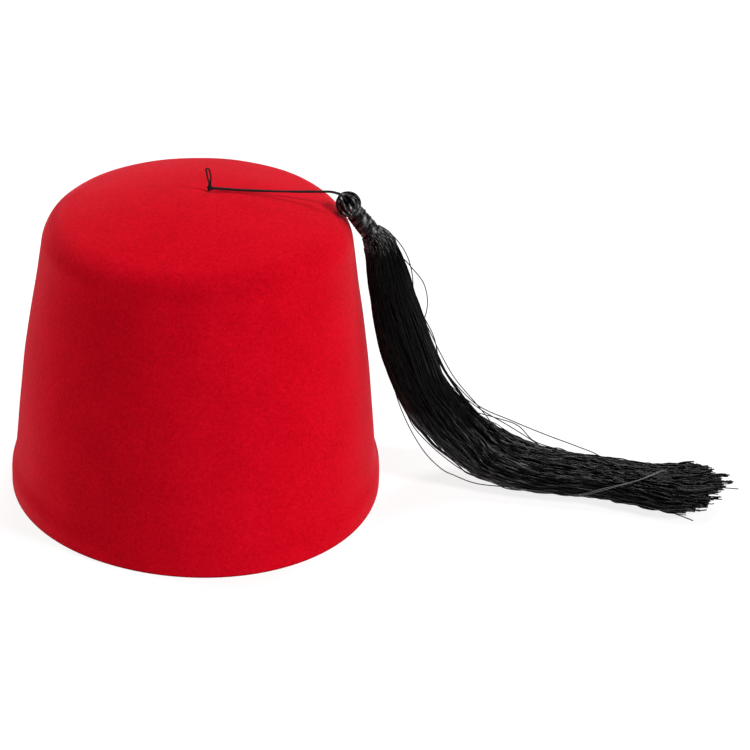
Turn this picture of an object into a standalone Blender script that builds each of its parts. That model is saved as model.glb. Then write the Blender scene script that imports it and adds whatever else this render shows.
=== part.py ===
"""A red felt fez with a black tassel that hangs beside it and lies on the table.

Metres, +Z up. The origin is on the table, under the middle of the rim. +X points to
the tassel's side and -Y to the front of the hat.
"""

import math
from collections import namedtuple

import bmesh
import bpy
import numpy as np
from mathutils import Matrix, Vector

NAME = "felt_fez"
GAP = 0.0003                     # air between touching pieces
MERGE = 0.00005                  # merge distance of the modelling tools

# felt crown: a straight leaning wall, a round shoulder and a gently domed top
RIM_HALF_WIDTH = 0.086           # outside, from side to side
RIM_OVAL = 1.18                  # front-to-back over side-to-side at the rim, 1 at the shoulder
OVAL_EASE = 0.35                 # share of the wall over which the oval starts to close
CROWN_HEIGHT = 0.142
DOME_RADIUS = 0.200
SHOULDER_RADIUS = 0.0165
SHOULDER_REACH = 0.0545          # from the crown's axis to the middle of the shoulder's arc
WALL_FOOT = 0.0857               # half width at which the wall's line would meet the table
WALL_BELLY = 0.0014              # how far the soft wall swells outside that line
FELT_THICKNESS = 0.0025
RIM_UPRIGHT = 0.006              # the wall stands upright below this height
RIM_BLEND = 0.015                # and leans again above this one
RIM_TWO_WAVE = -0.0010           # worn shape of the soft rim: two low waves round it
RIM_THREE_WAVE = -0.0019
RIM_THREE_TURN = math.radians(61)
RIM_CENTRING = (0.0008, -0.0017)  # brings the middle of the uneven rim to the origin
CROWN_SIDES = 56

# thread loop, knot and cord on the crown
KNOT_X, KNOT_Y = 0.0061, 0.0018
KNOT_WIDTH, KNOT_HEIGHT = 0.0030, 0.0022
LOOP_THREAD = 0.0008
LOOP_HEIGHT = 0.0088
LOOP_WIDTH = 0.0017              # between the thread's middles, at the widest
LOOP_FOOT = 0.0012               # between the thread's middles, at the knot
LOOP_LEAN = -0.0013              # sideways drift of the loop's tip
CORD_DIAMETER = 0.0013
CORD_SIDESTEP = 0.0001           # the cord leaves the knot this far behind its middle
CORD_TOUCH = (-0.62, 0.06, 0.78)  # direction from the head's centre to the cord's end

# tassel: head, wound neck and skirt
HEAD_CENTRE = Vector((0.0688, 0.0062, 0.1350))
HEAD_RADIUS = 0.0059
COLLAR = Vector((0.0800, 0.0039, 0.1216))   # where the strands come out of the binding
BINDING_HEAD_RADIUS = 0.0043     # the binding's radius at the head
BINDING_RADIUS = 0.0046          # and at the collar
BINDING_WALL = 0.0012            # its thickness at the head
BINDING_SIDES = 18

# The skirt's middle line from the collar to the cut end. "rise" is the bundle's half
# thickness square to the line and upward, "spread" its half width, level across the line.
Section = namedtuple("Section", "x y z rise spread")
SKIRT = (
    Section(0.0800, 0.0039, 0.1216, 0.0046, 0.0046),
    Section(0.0813, 0.0037, 0.1200, 0.0058, 0.0058),
    Section(0.0827, 0.0035, 0.1180, 0.0069, 0.0069),
    Section(0.0849, 0.0030, 0.1123, 0.0080, 0.0080),
    Section(0.0870, 0.0023, 0.1040, 0.0092, 0.0091),
    Section(0.0910, 0.0010, 0.0879, 0.0107, 0.0106),
    Section(0.0970, -0.0002, 0.0673, 0.0120, 0.0120),
    Section(0.1053, -0.0008, 0.0460, 0.0127, 0.0130),
    Section(0.1174, -0.0013, 0.0284, 0.0133, 0.0143),
    Section(0.1334, -0.0022, 0.0146, 0.0119, 0.0156),
    Section(0.1523, -0.0074, 0.0089, 0.0093, 0.0163),
    Section(0.1709, -0.0124, 0.0081, 0.0085, 0.0147),
    Section(0.1895, -0.0156, 0.0077, 0.0081, 0.0132),
    Section(0.2080, -0.0198, 0.0073, 0.0077, 0.0148),
    Section(0.2265, -0.0218, 0.0069, 0.0073, 0.0180),
    Section(0.2475, -0.0190, 0.0066, 0.0070, 0.0184),
)
SKIRT_ROWS = 22                  # sections of the fused solid along the skirt
DIRECTION_STEP = 0.004           # fraction of the skirt over which its direction is taken
LOCKS = 12                       # tapered locks of strands round the core
LOCK_START = 0.008               # fraction of the skirt at which they come out of the collar
LOCK_SHARE = 0.34                # lock radius over the mean half size of the bundle
LOCK_TIP_SHARE = 0.55            # a lock's size at its start, over its full size
LOCK_SWELL = 0.030               # fraction of the skirt over which it swells to its full size
LOCK_SWAY = 0.22                 # how far a lock wanders round the core, in radians
LOCK_SWAY_PHASE = 1.7            # phase of that wandering from one lock to the next
LOCK_RAGGED = 0.004              # the cut end's unevenness from lock to lock
LOCK_RAGGED_PHASE = 2.4
FRONT_SHORTFALL = 0.019          # the locks in front end this much before the middle ones
BACK_SHORTFALL = 0.004           # and those at the back this much
CORE_START, CORE_END = 0.012, 0.955  # fractions of the skirt between which its core runs
CORE_SHARE = 0.80                # core size over the bundle's size
CORE_SIDES = 14
TABLE_BLOCK_SIZE = (0.20, 0.12, 0.02)      # cutter below the table's surface
TABLE_BLOCK_MIDDLE = (0.19, -0.01, -0.01)

FELT_RED, FELT_ROUGHNESS = (0.52, 0.006, 0.018), 0.92
RAYON_BLACK, RAYON_ROUGHNESS = (0.012, 0.012, 0.013), 0.38
THREAD_BLACK, THREAD_ROUGHNESS = (0.018, 0.016, 0.017), 0.62


def clear_scene():
    for item in list(bpy.data.objects):
        bpy.data.objects.remove(item)


def make_collection(name):
    collection = bpy.data.collections.new(name)
    bpy.context.scene.collection.children.link(collection)
    return collection


def make_material(name, colour, roughness):
    material = bpy.data.materials.new(name)
    material.use_nodes = True
    shader = material.node_tree.nodes["Principled BSDF"]
    shader.inputs["Base Color"].default_value = (*colour, 1.0)
    shader.inputs["Roughness"].default_value = roughness
    shader.inputs["Metallic"].default_value = 0.0
    return material


def add_object(name, data, material, collection):
    item = bpy.data.objects.new(name, data)
    item.data.materials.append(material)
    collection.objects.link(item)
    return item


def as_guide(item):
    """Keep a cutter or an operand out of the finished object."""
    item.hide_render = True
    item.display_type = "WIRE"
    return item


def shade_round(mesh, angle=math.radians(50)):
    mesh.shade_smooth()
    mesh.set_sharp_from_angle(angle=angle)


def evaluated_mesh(item):
    """The object's mesh with its modifiers or bevel, doubles merged, in world space."""
    bpy.context.view_layer.update()
    graph = bpy.context.evaluated_depsgraph_get()
    mesh = bpy.data.meshes.new_from_object(item.evaluated_get(graph))
    mesh.transform(item.matrix_world)
    work = bmesh.new()
    work.from_mesh(mesh)
    bmesh.ops.remove_doubles(work, verts=work.verts, dist=MERGE)
    work.to_mesh(mesh)
    work.free()
    return mesh


def into_mesh_object(item, collection, material):
    """Replace a curve or modified object by a plain mesh object of the same name."""
    name = item.name
    mesh = evaluated_mesh(item)
    bpy.data.objects.remove(item)
    mesh.materials.clear()
    return add_object(name, mesh, material, collection)


def smooth_line(rows, at):
    """Cubic curve through the rows, read at fractions "at" of their chord length."""
    rows = np.asarray(rows, dtype=float)
    chords = np.linalg.norm(np.diff(rows[:, :3], axis=0), axis=1)
    knots = np.concatenate(([0.0], np.cumsum(chords)))
    slopes = np.gradient(rows, knots, axis=0)
    places = np.asarray(at) * knots[-1]
    left = np.clip(np.searchsorted(knots, places, side="right") - 1, 0, len(knots) - 2)
    span = (knots[left + 1] - knots[left])[:, None]
    t = (places[:, None] - knots[left][:, None]) / span
    return (
        (2 * t**3 - 3 * t**2 + 1) * rows[left]
        + (t**3 - 2 * t**2 + t) * span * slopes[left]
        + (3 * t**2 - 2 * t**3) * rows[left + 1]
        + (t**3 - t**2) * span * slopes[left + 1]
    )


def make_tube(name, points, radii, material, collection, sides_level=2):
    """A round tube along the points; radii is one number or one for each point."""
    radii = np.broadcast_to(radii, len(points))
    curve = bpy.data.curves.new(name, "CURVE")
    curve.dimensions = "3D"
    curve.bevel_depth = float(radii.max())
    curve.bevel_resolution = sides_level
    curve.use_fill_caps = True
    spline = curve.splines.new("POLY")
    spline.points.add(len(points) - 1)
    for knot, point, radius in zip(spline.points, points, radii):
        knot.co = (*point, 1.0)
        knot.radius = float(radius / radii.max())
    return add_object(name, curve, material, collection)


# ---- felt crown ----

def shoulder_height():
    """Height of the middle of the shoulder's arc, which touches the dome from inside."""
    drop = math.sqrt((DOME_RADIUS - SHOULDER_RADIUS) ** 2 - SHOULDER_REACH**2)
    return CROWN_HEIGHT - DOME_RADIUS + drop


def wall_lean():
    """Angle from upright of the wall's line, from its foot to the shoulder's arc."""
    inward = WALL_FOOT - SHOULDER_REACH
    upward = shoulder_height()
    return math.atan2(inward, upward) - math.asin(SHOULDER_RADIUS / math.hypot(inward, upward))


def crown_profile():
    """Outer side of the crown from the middle of the top down to the rim, as (x, z)."""
    profile = []
    centre_z = CROWN_HEIGHT - DOME_RADIUS
    dome_end = math.asin(SHOULDER_REACH / (DOME_RADIUS - SHOULDER_RADIUS))
    for share in (0.0, 0.25, 0.5, 0.75):
        turn = dome_end * share
        profile.append((DOME_RADIUS * math.sin(turn), centre_z + DOME_RADIUS * math.cos(turn)))
    lean = wall_lean()
    shoulder_steps = 6
    for step in range(shoulder_steps + 1):
        turn = dome_end + (math.pi / 2 - lean - dome_end) * step / shoulder_steps
        profile.append((
            SHOULDER_REACH + SHOULDER_RADIUS * math.sin(turn),
            shoulder_height() + SHOULDER_RADIUS * math.cos(turn),
        ))
    top = profile[-1][1]
    wall_rows = 7
    heights = [top + (RIM_BLEND - top) * row / wall_rows for row in range(1, wall_rows + 1)]
    heights += [0.5 * RIM_BLEND + 0.5 * RIM_UPRIGHT, RIM_UPRIGHT, 0.0]
    for height in heights:
        share = max((height - RIM_UPRIGHT) / (top - RIM_UPRIGHT), 0.0)
        leaning = WALL_FOOT - height * math.tan(lean) + WALL_BELLY * math.sin(math.pi * share) ** 2
        climb = min(max((height - RIM_UPRIGHT) / (RIM_BLEND - RIM_UPRIGHT), 0.0), 1.0)
        upright = 1.0 - climb * climb * (3.0 - 2.0 * climb)
        profile.append((leaning + (RIM_HALF_WIDTH - leaning) * upright, height))
    return profile


def press_oval(mesh):
    """Turn the round crown into the oval of a head at the rim, with the rim's low waves."""
    flat = np.empty(len(mesh.vertices) * 3)
    mesh.vertices.foreach_get("co", flat)
    points = flat.reshape(-1, 3)
    radius = np.hypot(points[:, 0], points[:, 1])
    angle = np.arctan2(points[:, 1], points[:, 0])
    climb = (points[:, 2] - RIM_UPRIGHT) / (shoulder_height() - RIM_UPRIGHT)
    climb = np.clip(climb, 0.0, 1.0)
    steady = climb - OVAL_EASE / 2
    climb = np.where(climb < OVAL_EASE, climb**2 / (2 * OVAL_EASE), steady) / (1 - OVAL_EASE / 2)
    oval = RIM_OVAL + (1.0 - RIM_OVAL) * climb
    wave = RIM_TWO_WAVE * np.sin(2 * angle)
    wave += RIM_THREE_WAVE * np.cos(3 * angle - RIM_THREE_TURN)
    wave *= 1.0 - climb
    points[:, 0] = (radius + wave) * np.cos(angle) + RIM_CENTRING[0]
    points[:, 1] = (radius * oval + wave) * np.sin(angle) + RIM_CENTRING[1]
    mesh.vertices.foreach_set("co", points.ravel())
    mesh.update()


def make_crown(material, collection):
    """One blocked felt shell: a turned profile, pressed oval, with the felt's thickness."""
    profile = crown_profile()
    mesh = bpy.data.meshes.new("felt_crown")
    edges = [(row, row + 1) for row in range(len(profile) - 1)]
    mesh.from_pydata([(x, 0.0, z) for x, z in profile], edges, [])
    turned = add_object("felt_crown", mesh, material, collection)
    screw = turned.modifiers.new("Turn", "SCREW")
    screw.axis = "Z"
    screw.angle = 2 * math.pi
    screw.steps = screw.render_steps = CROWN_SIDES
    screw.use_merge_vertices = True
    screw.merge_threshold = MERGE
    crown = into_mesh_object(turned, collection, material)
    press_oval(crown.data)
    shade_round(crown.data)
    wall = crown.modifiers.new("Felt", "SOLIDIFY")
    wall.thickness = FELT_THICKNESS
    wall.offset = -1.0
    wall.use_even_offset = True
    return crown


def crown_top_at(x, y):
    """Height of the domed top over a point of the plan."""
    reach = math.hypot(x - RIM_CENTRING[0], y - RIM_CENTRING[1])
    return CROWN_HEIGHT - DOME_RADIUS + math.sqrt(DOME_RADIUS**2 - reach**2)


# ---- loop, knot and cord ----

def knot_centre():
    seat = crown_top_at(KNOT_X, KNOT_Y) + GAP
    return Vector((KNOT_X, KNOT_Y, seat + KNOT_HEIGHT / 2))


def make_knot(material, collection):
    mesh = bpy.data.meshes.new("anchor_knot")
    work = bmesh.new()
    bmesh.ops.create_uvsphere(work, u_segments=14, v_segments=8, radius=0.5)
    bmesh.ops.scale(work, vec=(KNOT_WIDTH, KNOT_WIDTH, KNOT_HEIGHT), verts=work.verts)
    work.to_mesh(mesh)
    work.free()
    shade_round(mesh)
    knot = add_object("anchor_knot", mesh, material, collection)
    knot.location = knot_centre()
    return knot


def make_loop(material, collection):
    """A narrow upright loop of thread: two legs close together, round at the top."""
    foot = knot_centre() + Vector((0.0, 0.0, KNOT_HEIGHT / 2 + GAP))
    points = []
    leg_steps, arch_steps = 5, 6
    arch_foot = LOOP_HEIGHT - LOOP_WIDTH / 2 - LOOP_THREAD / 2
    for step in range(leg_steps):
        climb = step / leg_steps
        ease = climb * climb * (3 - 2 * climb)
        half = (LOOP_FOOT + (LOOP_WIDTH - LOOP_FOOT) * ease) / 2
        points.append((-half, arch_foot * climb))
    for step in range(arch_steps + 1):
        turn = math.pi * step / arch_steps
        points.append((-LOOP_WIDTH / 2 * math.cos(turn),
                       arch_foot + LOOP_WIDTH / 2 * math.sin(turn)))
    points += [(-x, z) for x, z in reversed(points[:leg_steps])]
    path = [foot + Vector((x + LOOP_LEAN * (z / LOOP_HEIGHT) ** 2, 0.0, z)) for x, z in points]
    return make_tube("top_loop", path, LOOP_THREAD / 2, material, collection)


def cord_points():
    """The cord's route: straight over the crown, then down onto the tassel's head."""
    knot = knot_centre()
    start = knot + Vector((KNOT_WIDTH / 2 + GAP, CORD_SIDESTEP, 0.0))
    touch = HEAD_CENTRE + Vector(CORD_TOUCH).normalized() * (HEAD_RADIUS + 2 * GAP)
    return [
        start,
        Vector((0.0200, 0.0028, 0.1423)),
        Vector((0.0310, 0.0037, 0.1417)),
        Vector((0.0450, 0.0048, 0.1413)),
        Vector((0.0560, 0.0056, 0.1412)),
        Vector((0.0612, 0.0060, 0.1410)),
        touch,
    ]


def make_cord(material, collection):
    rows = [tuple(point) for point in cord_points()]
    steps = 24
    path = smooth_line(rows, np.linspace(0.0, 1.0, steps + 1))
    return make_tube("tassel_cord", path, CORD_DIAMETER / 2, material, collection)


# ---- tassel ----

def neck_direction():
    return (COLLAR - HEAD_CENTRE).normalized()


def along_neck():
    """Turns the Z axis onto the neck's axis, pointing from the collar to the head."""
    return (-neck_direction()).to_track_quat("Z", "X").to_matrix().to_4x4()


def make_head(material, collection):
    mesh = bpy.data.meshes.new("tassel_head")
    work = bmesh.new()
    bmesh.ops.create_uvsphere(work, u_segments=18, v_segments=10, radius=HEAD_RADIUS)
    bmesh.ops.transform(work, matrix=along_neck(), verts=work.verts)
    work.to_mesh(mesh)
    work.free()
    shade_round(mesh)
    head = add_object("tassel_head", mesh, material, collection)
    head.location = HEAD_CENTRE
    return head


def binding_inner_radius():
    return BINDING_HEAD_RADIUS - BINDING_WALL


def binding_start():
    """Distance from the head's centre at which the binding clears the round head."""
    return math.sqrt((HEAD_RADIUS + GAP) ** 2 - binding_inner_radius() ** 2)


def make_binding(material, collection):
    """A wound sleeve round the strands' core, a little wider at the collar."""
    length = (COLLAR - HEAD_CENTRE).length - binding_start() - GAP
    inner = binding_inner_radius()
    profile = [(inner, length)]
    for share in (1.0, 0.75, 0.5, 0.25, 0.0):
        outer = BINDING_RADIUS + (BINDING_HEAD_RADIUS - BINDING_RADIUS) * share
        profile.append((outer, length * share))
    profile.append((inner, 0.0))
    mesh = bpy.data.meshes.new("neck_binding")
    edges = [(row, (row + 1) % len(profile)) for row in range(len(profile))]
    mesh.from_pydata([(x, 0.0, z) for x, z in profile], edges, [])
    turned = add_object("neck_binding", mesh, material, collection)
    screw = turned.modifiers.new("Turn", "SCREW")
    screw.axis = "Z"
    screw.angle = 2 * math.pi
    screw.steps = screw.render_steps = BINDING_SIDES
    screw.use_merge_vertices = True
    screw.merge_threshold = MERGE
    binding = into_mesh_object(turned, collection, material)
    foot = HEAD_CENTRE + neck_direction() * (binding_start() + length)
    binding.data.transform(Matrix.Translation(foot) @ along_neck())
    shade_round(binding.data)
    return binding


def skirt_length():
    middle = np.array(SKIRT)[:, :3]
    return float(np.linalg.norm(np.diff(middle, axis=0), axis=1).sum())


def axes_across(tangent):
    """Level and upward axes square to each direction in an array of directions."""
    tangent = tangent / np.linalg.norm(tangent, axis=1)[:, None]
    level = np.cross((0.0, 0.0, 1.0), tangent)
    level /= np.linalg.norm(level, axis=1)[:, None]
    return level, np.cross(tangent, level)


def skirt_frames(at):
    """Middle points, level axes, upward axes and half sizes at fractions of the skirt."""
    rows = smooth_line(SKIRT, at)
    ahead = smooth_line(SKIRT, np.clip(np.asarray(at) + DIRECTION_STEP, 0.0, 1.0))
    behind = smooth_line(SKIRT, np.clip(np.asarray(at) - DIRECTION_STEP, 0.0, 1.0))
    level, upward = axes_across(ahead[:, :3] - behind[:, :3])
    return rows[:, :3], level, upward, rows[:, 3], rows[:, 4]


def oval_rings(middle, level, upward, rise, spread):
    """Rings of points, one for each middle point, with half sizes rise and spread."""
    turn = 2 * np.pi * np.arange(CORE_SIDES) / CORE_SIDES
    across = (spread[:, None] * np.cos(turn))[:, :, None] * level[:, None]
    over = (rise[:, None] * np.sin(turn))[:, :, None] * upward[:, None]
    return middle[:, None] + across + over


def lofted_mesh(name, rings):
    """A closed skin over rings of equal count, capped at both ends."""
    count, sides = rings.shape[:2]
    faces = []
    for row in range(count - 1):
        near, far = row * sides, (row + 1) * sides
        for side in range(sides):
            after = (side + 1) % sides
            faces.append((near + side, near + after, far + after, far + side))
    faces.append(tuple(reversed(range(sides))))
    faces.append(tuple((count - 1) * sides + side for side in range(sides)))
    mesh = bpy.data.meshes.new(name)
    mesh.from_pydata(rings.reshape(-1, 3).tolist(), [], faces)
    work = bmesh.new()
    work.from_mesh(mesh)
    bmesh.ops.recalc_face_normals(work, faces=work.faces)
    work.to_mesh(mesh)
    work.free()
    return mesh


def make_core(material, collection):
    """Oval core of the skirt, lofted from the plug inside the binding to the cut end."""
    neck = np.array(neck_direction())
    plug_middle = np.array((HEAD_CENTRE, COLLAR)) + (
        (HEAD_RADIUS + GAP) * neck,
        (0.0, 0.0, 0.0),
    )
    plug_level, plug_upward = axes_across(np.array((neck, neck)))
    plug_radius = np.full(2, binding_inner_radius() - GAP)
    plug = oval_rings(plug_middle, plug_level, plug_upward, plug_radius, plug_radius)
    along = np.linspace(CORE_START, CORE_END, SKIRT_ROWS)
    middle, level, upward, rise, spread = skirt_frames(along)
    body = oval_rings(middle, level, upward, CORE_SHARE * rise, CORE_SHARE * spread)
    mesh = lofted_mesh("tassel_skirt", np.concatenate((plug, body)))
    return add_object("tassel_skirt", mesh, material, collection)


def make_lock(index, material, collection):
    """One tapered lock of strands that follows the skirt and wanders a little round it."""
    across = math.cos(2 * math.pi * index / LOCKS)
    shortfall = LOCK_RAGGED * (0.5 + 0.5 * math.sin(LOCK_RAGGED_PHASE * index))
    shortfall += (BACK_SHORTFALL if across > 0 else FRONT_SHORTFALL) * across**2
    end = 1.0 - shortfall / skirt_length()
    at = np.linspace(LOCK_START, end, SKIRT_ROWS)
    middle, level, upward, rise, spread = skirt_frames(at)
    sway = LOCK_SWAY * at * np.sin(2 * np.pi * at + LOCK_SWAY_PHASE * index)
    turn = 2 * np.pi * index / LOCKS + sway
    radius = LOCK_SHARE * np.sqrt(rise * spread)
    radius *= np.minimum(LOCK_TIP_SHARE + at / LOCK_SWELL, 1.0)
    path = (
        middle
        + ((spread - radius) * np.cos(turn))[:, None] * level
        + ((rise - radius) * np.sin(turn))[:, None] * upward
    )
    lock = make_tube(f"lock_{index:02d}", path, radius, material, collection)
    return as_guide(into_mesh_object(lock, collection, material))


def make_table_cutter(material, collection):
    """A block below the table's surface, which flattens the strands that lie on it."""
    mesh = bpy.data.meshes.new("table_block")
    work = bmesh.new()
    bmesh.ops.create_cube(work, size=1.0)
    bmesh.ops.scale(work, vec=TABLE_BLOCK_SIZE, verts=work.verts)
    bmesh.ops.translate(work, vec=TABLE_BLOCK_MIDDLE, verts=work.verts)
    work.to_mesh(mesh)
    work.free()
    return as_guide(add_object("table_block", mesh, material, collection))


def make_skirt(material, collection, locks, cutters):
    """The core and its locks fused, then flattened where they lie."""
    core = make_core(material, collection)
    for index in range(LOCKS):
        make_lock(index, material, locks)
    fuse = core.modifiers.new("Fuse locks", "BOOLEAN")
    fuse.operation = "UNION"
    fuse.solver = "EXACT"
    fuse.operand_type = "COLLECTION"
    fuse.collection = locks
    fuse.use_self = True
    press = core.modifiers.new("Lie flat", "BOOLEAN")
    press.operation = "DIFFERENCE"
    press.solver = "EXACT"
    press.object = make_table_cutter(material, cutters)
    return core


def main():
    clear_scene()
    parts = make_collection(NAME)
    locks = make_collection("skirt_locks")
    cutters = make_collection("cutters")
    felt = make_material("red_felt", FELT_RED, FELT_ROUGHNESS)
    rayon = make_material("black_rayon", RAYON_BLACK, RAYON_ROUGHNESS)
    thread = make_material("black_thread", THREAD_BLACK, THREAD_ROUGHNESS)
    make_crown(felt, parts)
    make_knot(thread, parts)
    make_loop(thread, parts)
    make_cord(thread, parts)
    make_head(rayon, parts)
    make_binding(rayon, parts)
    make_skirt(rayon, parts, locks, cutters)
    bpy.context.view_layer.update()


if __name__ == "__main__":
    main()
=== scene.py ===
import math

import bpy
import numpy as np
from mathutils import Matrix, Vector
from numpy import cos, pi, sin


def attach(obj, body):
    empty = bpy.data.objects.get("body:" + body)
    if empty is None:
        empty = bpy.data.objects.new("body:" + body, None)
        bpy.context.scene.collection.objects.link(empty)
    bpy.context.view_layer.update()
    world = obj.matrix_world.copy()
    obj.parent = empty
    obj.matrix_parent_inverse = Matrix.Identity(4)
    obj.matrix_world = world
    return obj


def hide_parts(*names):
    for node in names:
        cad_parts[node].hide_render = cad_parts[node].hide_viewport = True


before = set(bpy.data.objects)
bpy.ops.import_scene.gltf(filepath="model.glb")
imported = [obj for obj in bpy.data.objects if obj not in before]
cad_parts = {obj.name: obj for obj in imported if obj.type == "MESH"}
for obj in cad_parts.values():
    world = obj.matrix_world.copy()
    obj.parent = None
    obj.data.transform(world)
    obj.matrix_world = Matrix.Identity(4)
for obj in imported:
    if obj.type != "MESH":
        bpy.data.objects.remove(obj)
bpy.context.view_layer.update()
dice = np.random.default_rng(57)
scene = bpy.context.scene


photoCamera = dict(
    target=(0.0830, -0.0017, 0.05155),  # the point in the middle of the picture
    distance=1.5,
    elevation=28.06,  # degrees above the table
    roll=1.476,  # degrees
    lens=154.87,  # mm on the sensor below
    sensor=36.0,  # mm wide
    pictureSize=750,  # pixels across the photo
)


def cameraAxes(view):
    # The picture's right and top, rolled about the way back from the target, -Y raised by the elevation.
    elevation, roll = math.radians(view["elevation"]), math.radians(view["roll"])
    away = Vector((0.0, -math.cos(elevation), math.sin(elevation)))
    side = Vector((1.0, 0.0, 0.0))
    top = away.cross(side)
    imageRight = math.cos(roll) * side + math.sin(roll) * top
    return imageRight, math.cos(roll) * top - math.sin(roll) * side, away


def makeCamera(view):
    imageRight, imageUp, away = cameraAxes(view)
    camera = bpy.data.objects.new("photoCamera", bpy.data.cameras.new("photoCamera"))
    camera.data.sensor_width = view["sensor"]
    camera.data.lens = view["lens"]
    camera.data.clip_start, camera.data.clip_end = 0.05, 50.0
    camera.matrix_world = Matrix((imageRight, imageUp, away)).transposed().to_4x4()
    camera.location = Vector(view["target"]) + view["distance"] * away
    scene.collection.objects.link(camera)
    scene.camera = camera


def fromPhoto(right, down, back):
    # Where the ray through a pixel of the photo, eye + k ray, meets y = back, or z = 0 where back is None.
    view = photoCamera
    imageRight, imageUp, away = cameraAxes(view)
    eye = Vector(view["target"]) + view["distance"] * away
    middle, focal = view["pictureSize"] / 2, view["pictureSize"] * view["lens"] / view["sensor"]
    ray = (right - middle) * imageRight - (down - middle) * imageUp - focal * away
    k = -eye.z / ray.z if back is None else (back - eye.y) / ray.y
    return eye + k * ray


makeCamera(photoCamera)
print("camera at the photo's angle")


def unit(vectors):
    # Each vector over its own length.
    return vectors / np.maximum(np.linalg.norm(vectors, axis=-1, keepdims=True), 1e-12)


def ease(low, high, value):
    # Smooth step: 0 below low, 1 above high, 3 t^2 - 2 t^3 between.
    t = np.clip((value - low) / (high - low), 0.0, 1.0)
    return t * t * (3.0 - 2.0 * t)


def bell(value, middle, half):
    # exp(-((value - middle) / half)^2).
    return np.exp(-(((value - middle) / half) ** 2))


def gridFaces(rows, columns, outwardDown=False):
    # Quads between neighbouring rows of a grid that closes round its columns.
    row = np.arange(rows - 1)[:, None] * columns
    column = np.arange(columns)[None, :]
    after = (column + 1) % columns
    corners = [row + column, row + after, row + columns + after, row + columns + column]
    if outwardDown:
        corners.reverse()
    return np.stack(corners, axis=-1).reshape(-1, 4)


def closedGrid(rows, columns):
    # Such a grid's quads, with a cap on its first row and one on its last.
    ring = np.arange(columns)[None]
    return [gridFaces(rows, columns), ring[:, ::-1], ring + (rows - 1) * columns]


def smoothLine(rows, at):
    # Cubic curve through the rows, read at fractions of their chord length.
    rows = np.asarray(rows, dtype=float)
    chords = np.linalg.norm(np.diff(rows[:, :3], axis=0), axis=1)
    knots = np.concatenate(([0.0], np.cumsum(chords)))
    slopes = np.gradient(rows, knots, axis=0)
    places = np.asarray(at, dtype=float).ravel() * knots[-1]
    left = np.clip(np.searchsorted(knots, places, side="right") - 1, 0, len(knots) - 2)
    span = (knots[left + 1] - knots[left])[:, None]
    t = (places[:, None] - knots[left][:, None]) / span
    curve = (
        (2 * t**3 - 3 * t**2 + 1) * rows[left]
        + (t**3 - 2 * t**2 + t) * span * slopes[left]
        + (3 * t**2 - 2 * t**3) * rows[left + 1]
        + (t**3 - t**2) * span * slopes[left + 1]
    )
    return curve.reshape(*np.shape(at), rows.shape[1])


def evenLine(points, count):
    # The smooth curve through the points, read at even steps of its real length.
    fine = smoothLine(points, np.linspace(0.0, 1.0, 40 * len(points)))
    along = np.concatenate(([0.0], np.cumsum(np.linalg.norm(np.diff(fine, axis=0), axis=1))))
    want = np.linspace(0.0, along[-1], count)
    return np.stack([np.interp(want, along, fine[:, k]) for k in range(3)], axis=-1)


def lineLength(line):
    return float(np.linalg.norm(np.diff(line, axis=0), axis=1).sum())


def buildPiece(name, points, faceSets, material, nodes=(), paintedShines=None, uvs=None):
    # One mesh from an array of points and arrays of faces, smooth but for the caps of five sides or more.
    sizes = np.concatenate([np.full(len(faces), faces.shape[1]) for faces in faceSets])
    corners = np.concatenate([faces.ravel() for faces in faceSets]).astype(np.int32)
    starts = np.concatenate(([0], np.cumsum(sizes)[:-1])).astype(np.int32)
    mesh = bpy.data.meshes.new(name)
    mesh.vertices.add(len(points))
    mesh.vertices.foreach_set("co", points.astype(np.float32).ravel())
    mesh.loops.add(len(corners))
    mesh.loops.foreach_set("vertex_index", corners)
    mesh.polygons.add(len(sizes))
    mesh.polygons.foreach_set("loop_start", starts)
    mesh.update(calc_edges=True)
    mesh.polygons.foreach_set("use_smooth", sizes <= 4)
    # a painted highlight strength at each point, which the rayon materials turn into grey
    if paintedShines is not None:
        mesh.attributes.new("paintedShine", "FLOAT", "POINT").data.foreach_set("value", paintedShines.astype(np.float32))
    if uvs is not None:
        layer = mesh.uv_layers.new(name="along")
        layer.data.foreach_set("uv", uvs[corners].astype(np.float32).ravel())
    mesh.materials.append(material)
    piece = bpy.data.objects.new(name, mesh)
    scene.collection.objects.link(piece)
    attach(piece, "root")
    if nodes:
        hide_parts(*nodes)
    print(f"{name}: {int((sizes - 2).sum())} triangles")
    return piece


def tubes(lines, radii, hints, sides, twist=0.0, waist=0.0):
    # Every point of every line carries a ring: line + r(a) (cos(a + twist) across + sin(a + twist) over).
    # With a waist the ring has two lobes, like two plies: r(a) = r (1 - waist + waist |cos a|).
    lines = np.asarray(lines, dtype=float)
    lines = lines[None] if lines.ndim == 2 else lines
    count, steps = lines.shape[:2]
    tangent = unit(np.gradient(lines, axis=1))
    across = unit(np.cross(np.broadcast_to(hints, lines.shape), tangent))
    over = np.cross(tangent, across)
    around = 2 * pi * np.arange(sides) / sides
    turned = around + np.broadcast_to(twist, (count, steps))[..., None]
    reach = np.broadcast_to(radii, (count, steps))[..., None] * (1 - waist + waist * np.abs(cos(around)))
    ring = lines[:, :, None] + (reach * cos(turned))[..., None] * across[:, :, None]
    ring = ring + (reach * sin(turned))[..., None] * over[:, :, None]
    first = np.arange(count)[:, None, None] * steps * sides
    sets = [(faces + first).reshape(-1, faces.shape[1]) for faces in closedGrid(steps, sides)]
    return ring.reshape(-1, 3), sets


def joined(parts):
    # Several (points, faceSets) put into one, with each later part's faces moved on.
    points, sets, start = [], [], 0
    for partPoints, partSets in parts:
        points.append(partPoints)
        sets += [faces + start for faces in partSets]
        start += len(partPoints)
    return np.concatenate(points), sets


def perStrand(count, low=0.0, high=1.0):
    # A random number for each strand or lock, as a column.
    return dice.uniform(low, high, (count, 1))


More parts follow.
